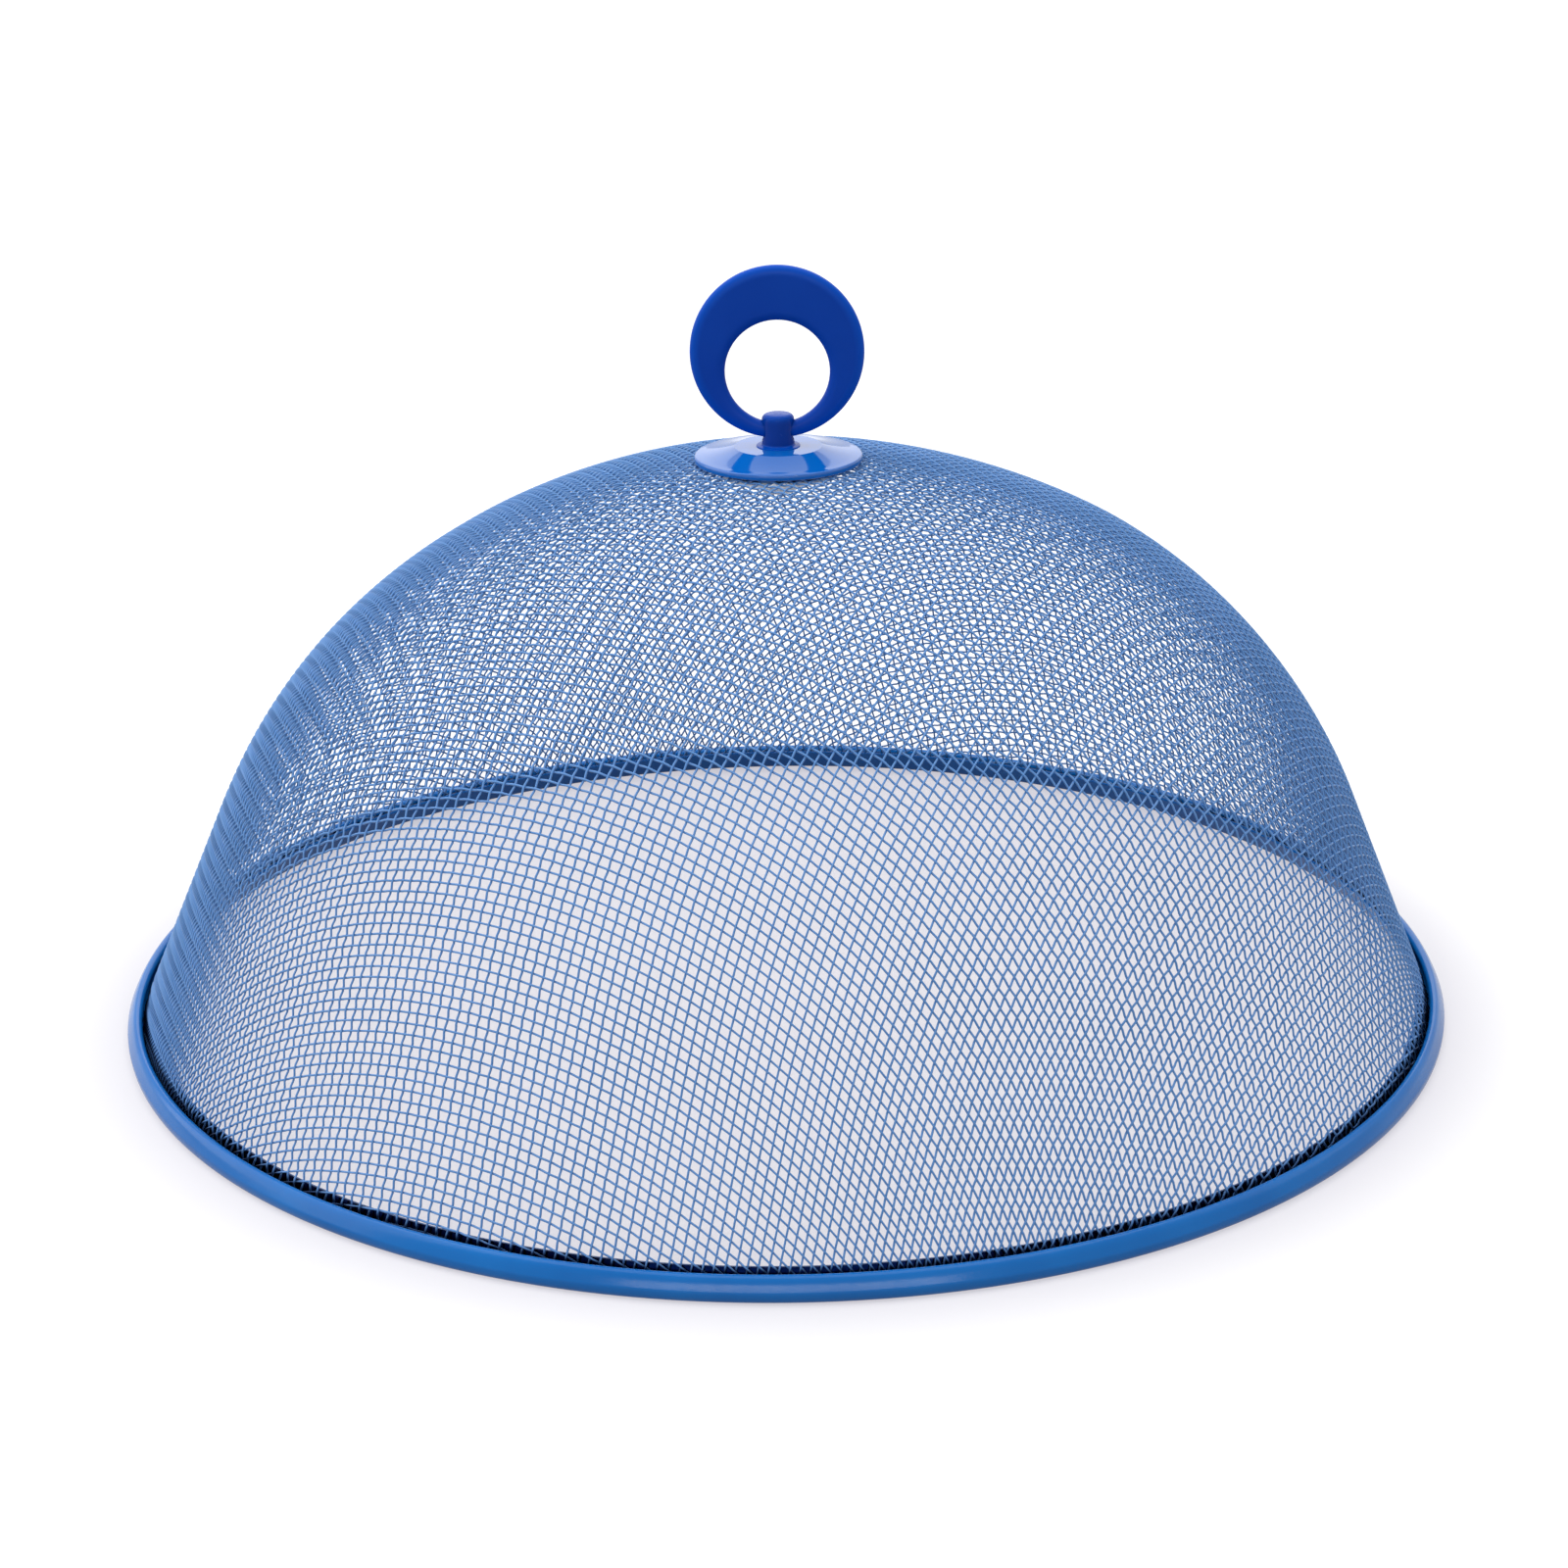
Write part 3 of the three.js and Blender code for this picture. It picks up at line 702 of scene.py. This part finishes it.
def quarter_net(count, reach):
    """Where the wires of one quarter cross. Row and column 0 run straight down the dome. Each other
    crossing lies a weft's step from the one above it and a warp's step from the one beside it, so the
    meshes shear as in pressed cloth. All crossings of a diagonal are found at once from the two
    diagonals before: each round measures their errors, and how these change with a nudge down and a
    nudge round the dome, and moves them to where the errors would vanish."""
    length = np.full((count, count), np.nan)
    turn = np.full((count, count), np.nan)
    length[:, 0], length[0, :] = np.arange(count) * WEFT_PITCH, np.arange(count) * WARP_PITCH
    turn[:, 0], turn[0, :] = 0, math.pi / 2
    nudge = WEFT_PITCH * NUDGE_SHARE
    for diagonal in range(2, 2 * count - 1):
        i = np.arange(max(1, diagonal - count + 1), min(diagonal, count))
        j = diagonal - i
        above, beside, behind = (i - 1, j), (i, j - 1), (i - 1, j - 1)
        known = np.isfinite(length[above] + length[beside] + length[behind])
        known &= np.maximum(length[above], length[beside]) < reach
        i, j = i[known], j[known]
        above, beside, behind = (i - 1, j), (i, j - 1), (i - 1, j - 1)
        near = [cloth_points(length[at], turn[at]) for at in (above, beside)]
        guess = near[0] + near[1] - cloth_points(length[behind], turn[behind])
        s = length[above] + length[beside] - length[behind]
        t = np.arctan2(guess[:, 1], guess[:, 0])
        for _ in range(SOLVE_ROUNDS):
            radius = np.maximum(dome_profile(s)[0], WEFT_PITCH)
            here = step_errors(cloth_points(s, t), *near)
            by_down = (step_errors(cloth_points(s + nudge, t), *near) - here) / nudge
            by_round = (step_errors(cloth_points(s, t + nudge / radius), *near) - here) / nudge
            det = by_down[0] * by_round[1] - by_round[0] * by_down[1]
            s = s - (here[0] * by_round[1] - here[1] * by_round[0]) / det
            t = t - (here[1] * by_down[0] - here[0] * by_down[1]) / det / radius
        length[i, j], turn[i, j] = s, t
    return length, turn


def whole_net():
    """The crossings of the whole cloth: the quarter, mirrored to the other three. Gives points and
    normals on a square grid, with NaN past the cloth's edge."""
    reach = edge_length + 2 * WARP_PITCH
    last = math.ceil(reach / WEFT_PITCH)
    length, turn = quarter_net(last + 1, reach)
    index = np.arange(-last, last + 1)
    i, j = np.meshgrid(index, index, indexing="ij")
    s, t = length[abs(i), abs(j)], turn[abs(i), abs(j)]
    t = np.where(i < 0, math.pi - t, t)
    t = np.where(j < 0, -t, t) + (CLOTH_TURN - 90) * DEGREE
    lean = dome_profile(s)[2]
    normals = np.stack([np.sin(lean) * np.cos(t), np.sin(lean) * np.sin(t), np.cos(lean)], -1)
    return cloth_points(s, t), normals


def bulge_of(points):
    """The cloth sits a little to the right of true, most where the shoulder begins and not at all
    under the plate or in the hoop."""
    radius = np.hypot(points[..., 0], points[..., 1])
    share = np.interp(radius / top_radius, BULGE_RADIUS_SHARES, BULGE_REACH_SHARES)
    moved = points.copy()
    moved[..., 0] += BULGE_REACH * share
    return moved


def wire_rows(points, normals, over):
    """Wires along the rows of a net. Each crossing gives two samples, a quarter of a pitch before and
    after it, lifted over or under the crossing wire by a share of the wire's radius, so the wire
    waves. The share is below one because the coating joins the wires where they cross. Gives each
    sample's centre, normal and side direction, and which samples lie on the cloth."""
    back = np.roll(points, 1, axis=1)
    ahead = np.roll(points, -1, axis=1)
    back[:, 0], ahead[:, -1] = np.nan, np.nan
    centre = np.stack([points + (back - points) / 4, points + (ahead - points) / 4], axis=2)
    centre += (over * WIRE_RADIUS * WEAVE_LIFT)[:, :, None, None] * normals[:, :, None, :]
    along = np.broadcast_to((ahead - back)[:, :, None, :], centre.shape)
    normal = np.broadcast_to(normals[:, :, None, :], centre.shape)
    side = np.cross(along, normal)
    side /= np.linalg.norm(side, axis=-1, keepdims=True)
    flat = (centre.shape[0], -1, 3)
    centre, normal, side = (x.reshape(flat) for x in (centre, normal, side))
    with np.errstate(invalid="ignore"):
        kept = np.isfinite(centre[..., 0]) & (centre[..., 2] > cloth_edge + WIRE_END)
    return centre, normal, side, kept


def wire_mesh(name, centre, normal, side, kept):
    """Tubes round runs of samples: each sample has a ring of points, WIRE_RADIUS from its centre in
    the plane of its normal and side, each ring joins the next, and both ends are closed. The bake
    map lays each wire out as one strip."""
    columns = kept.shape[1]
    number = np.full(kept.shape, -1)
    number[kept] = np.arange(kept.sum())
    angle = np.arange(WIRE_SIDES) * TURN / WIRE_SIDES
    ring = np.cos(angle)[:, None] * normal[kept][:, None] + np.sin(angle)[:, None] * side[kept][:, None]
    points = (centre[kept][:, None] + WIRE_RADIUS * ring).reshape(-1, 3)
    joined = kept[:, :-1] & kept[:, 1:]
    first, second = number[:, :-1][joined], number[:, 1:][joined]
    k = np.arange(WIRE_SIDES)
    following = (k + 1) % WIRE_SIDES
    tube = np.stack([
        first[:, None] * WIRE_SIDES + k,
        first[:, None] * WIRE_SIDES + following,
        second[:, None] * WIRE_SIDES + following,
        second[:, None] * WIRE_SIDES + k,
    ], -1).reshape(-1, 4)
    padded = np.pad(kept, ((0, 0), (1, 1)))
    starts = number[kept & ~padded[:, :-2]]
    ends = number[kept & ~padded[:, 2:]]
    caps = np.vstack([starts[:, None] * WIRE_SIDES + k[::-1], ends[:, None] * WIRE_SIDES + k])
    corners = np.concatenate([tube.ravel(), caps.ravel()])
    sizes = np.concatenate([np.full(len(tube), 4), np.full(len(caps), WIRE_SIDES)])
    mesh = mesh_of(name, points, corners, sizes)

    used = np.flatnonzero(kept.any(axis=1))
    strip = np.searchsorted(used, np.nonzero(joined)[0])
    sample = np.nonzero(joined)[1]
    v = np.stack([k, k + 1, k + 1, k], -1)[None] + (strip * (WIRE_SIDES + 1))[:, None, None]
    u = np.broadcast_to(np.stack([sample, sample, sample + 1, sample + 1], -1)[:, None], v.shape)
    tube_map = np.stack([u / columns, v / (len(used) * (WIRE_SIDES + 1))], -1).reshape(-1, 2)
    cap_map = np.zeros((caps.size, 2))
    layer = mesh.uv_layers.new(name="OFBake")
    layer.data.foreach_set("uv", np.vstack([tube_map, cap_map]).astype(np.float32).ravel())
    return mesh


def weave():
    """Both sets of wires, cut into bands that are small enough to keep their detail."""
    points, normals = whole_net()
    points = bulge_of(points)
    i, j = np.indices(points.shape[:2])
    over = np.where((i + j) % 2 == 0, 1.0, -1.0)
    families = {
        "warp_wires": (points, normals, over),
        "weft_wires": (points.swapaxes(0, 1), normals.swapaxes(0, 1), -over.T),
    }
    for family, net in families.items():
        centre, normal, side, kept = wire_rows(*net)
        total = np.cumsum(kept.sum(axis=1))
        band = np.minimum(total * CLOTH_BANDS // (total[-1] + 1), CLOTH_BANDS - 1)
        for number in range(CLOTH_BANDS):
            rows = band == number
            name = f"{family}_{number + 1}"
            mesh = wire_mesh(name, centre[rows], normal[rows], side[rows], kept[rows])
            add_piece(name, mesh, cloth_paint, "mesh_dome")


weave()


# Top plate


def plate_section():
    """The dished underside, an upright lip, a flaring cone and a flat, with softened corners. The
    cone's height falls with the square of the distance left to the lip, so it is steep at the flat
    and nearly level at the lip."""
    seat = CLOTH_THICKNESS / 2 + CLEARANCE
    lip_end = PLATE_RADIUS - LIP_WIDTH
    under_radius = np.linspace(STUD_HOLE_RADIUS, lip_end, PLATE_DISH_STEPS + 1)
    base = crown_height(seat, PLATE_RADIUS)
    lip_top = PLATE_TOP - PLATE_RISE
    share = np.linspace(0, 1, PLATE_CONE_STEPS + 1)[1:, None]
    cone_radius = lip_end + (PLATE_FLAT_RADIUS - lip_end) * share
    cone_height = lip_top + PLATE_RISE * (PLATE_FLARE * share**2 + (1 - PLATE_FLARE) * share)
    cone = np.hstack([cone_radius, cone_height])
    top = softened([
        [under_radius[-1], crown_height(seat, under_radius[-1]), 0],
        [PLATE_RADIUS, base, PLATE_FOOT_ROUNDING],
        [PLATE_RADIUS, lip_top, LIP_ROUNDING],
        [*cone[0], 0],
    ], closed=False)
    flat = softened([
        [*cone[-2], 0],
        [*cone[-1], PLATE_FLAT_ROUNDING],
        [STUD_HOLE_RADIUS, PLATE_TOP, 0],
    ], closed=False)
    under = np.stack([under_radius, crown_height(seat, under_radius)], -1)
    return np.vstack([under[:-1], top[:-1], cone[:-2], flat])


plate = turned("top_plate_dished", plate_section(), ROUND_STEPS)
add_piece("top_plate_dished", plate, plate_gloss, "top_plate", sharp=40)


# Eye post


def post_section():
    """Stud, foot and shank, turned from bar, with the foot flowing into the shank in a fillet and a
    domed top."""
    base = PLATE_TOP + FOOT_SEAT
    return softened([
        [0, POST_BOTTOM, 0],
        [STUD_RADIUS - STUD_CHAMFER, POST_BOTTOM, STUD_ROUNDING],
        [STUD_RADIUS, POST_BOTTOM + STUD_CHAMFER, STUD_ROUNDING],
        [STUD_RADIUS, base, STUD_ROUNDING],
        [POST_FOOT_RADIUS, base, FOOT_BASE_ROUNDING],
        [POST_FOOT_RADIUS, base + POST_FOOT_EDGE, FOOT_TOP_ROUNDING],
        [POST_RADIUS, base + POST_FOOT_EDGE + POST_FOOT_SLOPE, POST_FILLET],
        [POST_RADIUS, POST_TOP - POST_TOP_DOME, POST_TOP_EDGE],
        [0, POST_TOP, 0],
    ], closed=False, steps=POST_ROUND_STEPS)


def eye_cutter():
    """The bore of the eye along X. It opens out at both mouths with the cube of the distance from the
    middle, and runs past the post at both ends."""
    half = POST_RADIUS + EYE_OVERRUN
    along = np.linspace(-half, half, EYE_BORE_STEPS + 1)
    share = np.clip(np.abs(along) / POST_RADIUS, 0, EYE_MOUTH_LIMIT_SHARE)
    radius = EYE_RADIUS + (EYE_MOUTH_RADIUS - EYE_RADIUS) * share**3
    outline = np.vstack([[[0, -half]], np.stack([radius, along], -1), [[0, half]]])
    mesh = turned("eye_cutter", outline, EYE_STEPS)
    mesh.transform(Matrix.Translation((0, 0, EYE_CENTRE)) @ Matrix.Rotation(math.pi / 2, 4, "Y"))
    return mesh


def bored(mesh, cutter):
    """One mesh with another cut out of it."""
    body = bpy.data.objects.new("bored_body", mesh)
    tool = bpy.data.objects.new("bored_tool", cutter)
    for item in (body, tool):
        bpy.context.scene.collection.objects.link(item)
    cut = body.modifiers.new("eye", "BOOLEAN")
    cut.operation = "DIFFERENCE"
    cut.solver = "EXACT"
    cut.object = tool
    seen = body.evaluated_get(bpy.context.evaluated_depsgraph_get())
    made = bpy.data.meshes.new_from_object(seen)
    for item in (body, tool):
        bpy.data.objects.remove(item)
    made.materials.clear()
    made.shade_smooth()
    return made


post = bored(turned("eye_post_turned", post_section(), SMALL_STEPS), eye_cutter())
add_piece("eye_post_turned", post, post_paint, "eye_post", sharp=32)


# Ring handle


def ring_mesh():
    """A flat ring between two circles that aren't concentric, on rays from the middle of the finger
    hole. Each edge is a quarter ellipse on either face, and the two edges take at most nearly all of
    the width where the ring is thin."""
    turn = np.arange(RING_STEPS) * TURN / RING_STEPS
    edge = np.linspace(0, math.pi / 2, RING_EDGE_STEPS + 1)
    inset_share = 1 - np.sin(edge)
    depth = RING_THICKNESS / 2 - RING_EDGE_DEPTH * (1 - np.cos(edge))
    inset_share = np.concatenate([inset_share, inset_share[::-1]])
    outer_depth = np.concatenate([depth, -depth[::-1]])
    rays = np.stack([np.cos(turn), np.sin(turn)], -1)
    drop = FINGER_DROP * rays[:, 1:]
    outer_edge = drop + np.sqrt(RING_RADIUS**2 - FINGER_DROP**2 + drop**2)
    edge_width = np.minimum(RING_EDGE_WIDTH, RING_EDGE_SHARE * (outer_edge - FINGER_RADIUS))
    outer = outer_edge - edge_width * inset_share
    inner = FINGER_RADIUS + edge_width * inset_share[::-1]
    reach = np.concatenate([outer, inner], axis=1)
    across = np.broadcast_to(np.concatenate([outer_depth, -outer_depth]), reach.shape)
    x = reach * rays[:, :1]
    z = reach * rays[:, 1:] - FINGER_DROP + RING_CENTRE
    points = np.stack([x, across, z], -1)
    faces = quads(*reach.shape, True, True)
    return mesh_of("ring_handle_moulded", points.reshape(-1, 3), faces.ravel(), np.full(len(faces), 4))


ring = ring_mesh()
add_piece("ring_handle_moulded", ring, ring_gloss, "ring_handle", body="handle")


# Fixings


def washer_section():
    """A washer dished to the crown: its upper side follows the cloth, and its rim is blunt."""
    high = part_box("backing_washer")[1]
    inner, outer = STUD_HOLE_RADIUS, high.x
    radii = np.linspace(inner, outer, BACKING_STEPS + 1)
    upper = np.stack([radii, crown_height(0, radii) + high.z - crown_height(0, inner)], -1)
    lower = upper - [0, BACKING_THICKNESS]
    lower[-1, 0] -= BACKING_BLUNT
    upper[-1, 0] -= BACKING_BLUNT
    rim_point = [[outer, (lower[-1, 1] + upper[-1, 1]) / 2]]
    return np.vstack([lower, rim_point, upper[::-1]])


def split_ring():
    """The lock washer: a square section carried round most of a turn, with closed ends."""
    low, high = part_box("lock_washer")
    inner, outer = STUD_HOLE_RADIUS, high.y
    gap = LOCK_SPLIT / 2 / inner
    turn = np.linspace(gap, TURN - gap, LOCK_STEPS + 1)
    section = softened([
        [inner, low.z, LOCK_INNER_ROUNDING],
        [outer, low.z, LOCK_OUTER_ROUNDING],
        [outer, high.z, LOCK_OUTER_ROUNDING],
        [inner, high.z, LOCK_INNER_ROUNDING],
    ], closed=True, steps=LOCK_ROUND_STEPS)
    count = len(section)
    radius = section[None, :, 0]
    level = np.broadcast_to(section[None, :, 1], (len(turn), count))
    points = np.stack([radius * np.cos(turn)[:, None], radius * np.sin(turn)[:, None], level], -1)
    faces = quads(len(turn), count, False, True)[:, ::-1]
    caps = np.concatenate([np.arange(count), (len(turn) - 1) * count + np.arange(count)[::-1]])
    corners = np.concatenate([faces.ravel(), caps])
    sizes = np.concatenate([np.full(len(faces), 4), [count, count]])
    return mesh_of("lock_washer_split", points.reshape(-1, 3), corners, sizes)


def nut_mesh():
    """A hexagon nut: the side's distance is half the width over the cosine of the turn from the
    nearest flat, and a cone at each face takes off the corners."""
    low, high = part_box("clamp_nut")
    sector = TURN / NUT_SIDES
    turn = np.arange(SMALL_STEPS) * TURN / SMALL_STEPS
    from_flat = (turn + sector / 2) % sector - sector / 2
    side = NUT_ACROSS_FLATS / 2 / np.cos(from_flat)
    face = np.full_like(side, NUT_ACROSS_FLATS / 2 * NUT_FACE_SHARE)
    fall = (side - face) * math.tan(NUT_CHAMFER_ANGLE * DEGREE)
    bore = np.full_like(side, STUD_HOLE_RADIUS)
    bottom, top = np.full_like(side, low.z), np.full_like(side, high.z)
    rows = [
        (bore, bottom + NUT_BORE_CHAMFER),
        (bore + NUT_BORE_CHAMFER, bottom),
        (face, bottom),
        (side, bottom + fall),
        (side, top - fall),
        (face, top),
        (bore + NUT_BORE_CHAMFER, top),
        (bore, top - NUT_BORE_CHAMFER),
    ]
    radius, height = (np.stack(values) for values in zip(*rows))
    around = turn + sector / 2
    points = np.stack([radius * np.cos(around), radius * np.sin(around), height], -1).reshape(-1, 3)
    faces = quads(len(rows), SMALL_STEPS, True, True)
    return mesh_of("clamp_nut_hexagon", points, faces.ravel(), np.full(len(faces), 4))


washer = turned("backing_washer_dished", washer_section(), ROUND_STEPS // 2)
add_piece("backing_washer_dished", washer, zinc, "backing_washer", sharp=30)
add_piece("lock_washer_split", split_ring(), zinc, "lock_washer", sharp=30)
add_piece("clamp_nut_hexagon", nut_mesh(), zinc, "clamp_nut", sharp=20)


# Stage, light and camera


def seen_directly(tree):
    """1 for what the camera sees straight, in a mirror or through glass, and 0 for light."""
    path = tree.nodes.new("ShaderNodeLightPath")
    seen = path.outputs["Is Camera Ray"]
    for kind in ("Is Glossy Ray", "Is Transmission Ray"):
        either = tree.nodes.new("ShaderNodeMath")
        either.operation = "MAXIMUM"
        tree.links.new(seen, either.inputs[0])
        tree.links.new(path.outputs[kind], either.inputs[1])
        seen = either.outputs[0]
    return seen


def floor():
    """A wide grey disc that keeps the cover's shadow. The camera and mirrors see it lifted to white,
    and under the cover to a pale grey, a painted shadow."""
    material, tree, shader = new_material("floor_white")
    shader.inputs["Base Color"].default_value = (*FLOOR_COLOUR, 1)
    shader.inputs["Roughness"].default_value = FLOOR_ROUGHNESS
    tree.links.new(seen_directly(tree), shader.inputs["Emission Strength"])
    reach = reach_from(tree, (0, 0, 0), (1, 1, 1))
    glow = ramp(tree, reach, GLOW_IN_PAINTED_SHADOW, GLOW_AROUND, GLOW_START, GLOW_FULL)
    tree.links.new(glow, shader.inputs["Emission Color"])
    turn = np.arange(SMALL_STEPS) * TURN / SMALL_STEPS
    level = np.full_like(turn, -FLOOR_DROP)
    points = np.stack([FLOOR_REACH * np.cos(turn), FLOOR_REACH * np.sin(turn), level], -1)
    mesh = mesh_of("floor", points, np.arange(SMALL_STEPS), [SMALL_STEPS])
    mesh.materials.append(material)
    disc = bpy.data.objects.new("floor", mesh)
    bpy.context.scene.collection.objects.link(disc)


def world():
    """White to the camera and in mirrors, and a softer white as light."""
    made = bpy.data.worlds.new("studio")
    bpy.context.scene.world = made
    made.use_nodes = True
    tree = made.node_tree
    light = tree.nodes["Background"]
    light.inputs["Color"].default_value = (1, 1, 1, 1)
    tree.links.new(ramp(tree, seen_directly(tree), WORLD_LIGHT, 1.0, 0, 1), light.inputs["Strength"])


def softbox(name, azimuth, elevation, distance, width, height, level):
    """A rectangular lamp that faces the crown. Azimuth 0 is behind the cover, as the camera sees it,
    and grows to the right. Level is how bright the lamp's face looks."""
    lamp = bpy.data.lights.new(name, "AREA")
    lamp.shape = "RECTANGLE"
    lamp.size, lamp.size_y = width, height
    lamp.energy = level * math.pi * width * height
    made = bpy.data.objects.new(name, lamp)
    a, e = azimuth * DEGREE, elevation * DEGREE
    away = Vector((math.sin(a) * math.cos(e), math.cos(a) * math.cos(e), math.sin(e)))
    target = Vector((0, 0, apex))
    made.matrix_world = Matrix.Translation(target + away * distance) @ (
        away.to_track_quat("Z", "Y").to_matrix().to_4x4()
    )
    bpy.context.scene.collection.objects.link(made)


def camera():
    """The photograph's camera, tipped down and turned a little about its line of sight."""
    lens = bpy.data.cameras.new("camera")
    lens.lens = CAMERA_LENS
    lens.sensor_width = CAMERA_FRAME
    lens.clip_start, lens.clip_end = CAMERA_REACH
    made = bpy.data.objects.new("camera", lens)
    made.matrix_world = (
        Matrix.Translation(CAMERA_PLACE)
        @ Matrix.Rotation((90 - CAMERA_DOWN) * DEGREE, 4, "X")
        @ Matrix.Rotation(CAMERA_ROLL * DEGREE, 4, "Z")
    )
    bpy.context.scene.collection.objects.link(made)
    bpy.context.scene.camera = made


floor()
world()
softbox("lamp_over", azimuth=0, elevation=85, distance=1.8, width=2.4, height=2.4, level=1.7)
softbox("lamp_left", azimuth=-85, elevation=32, distance=1.8, width=2.0, height=2.0, level=1.65)
softbox("lamp_right", azimuth=85, elevation=30, distance=1.6, width=0.8, height=0.95, level=0.8)
softbox("lamp_front", azimuth=180, elevation=19, distance=2.4, width=2.2, height=0.28, level=6.5)
softbox("lamp_behind", azimuth=0, elevation=18.5, distance=2.6, width=2.0, height=0.96, level=0.8)
camera()
bpy.context.scene.view_settings.view_transform = "Standard"
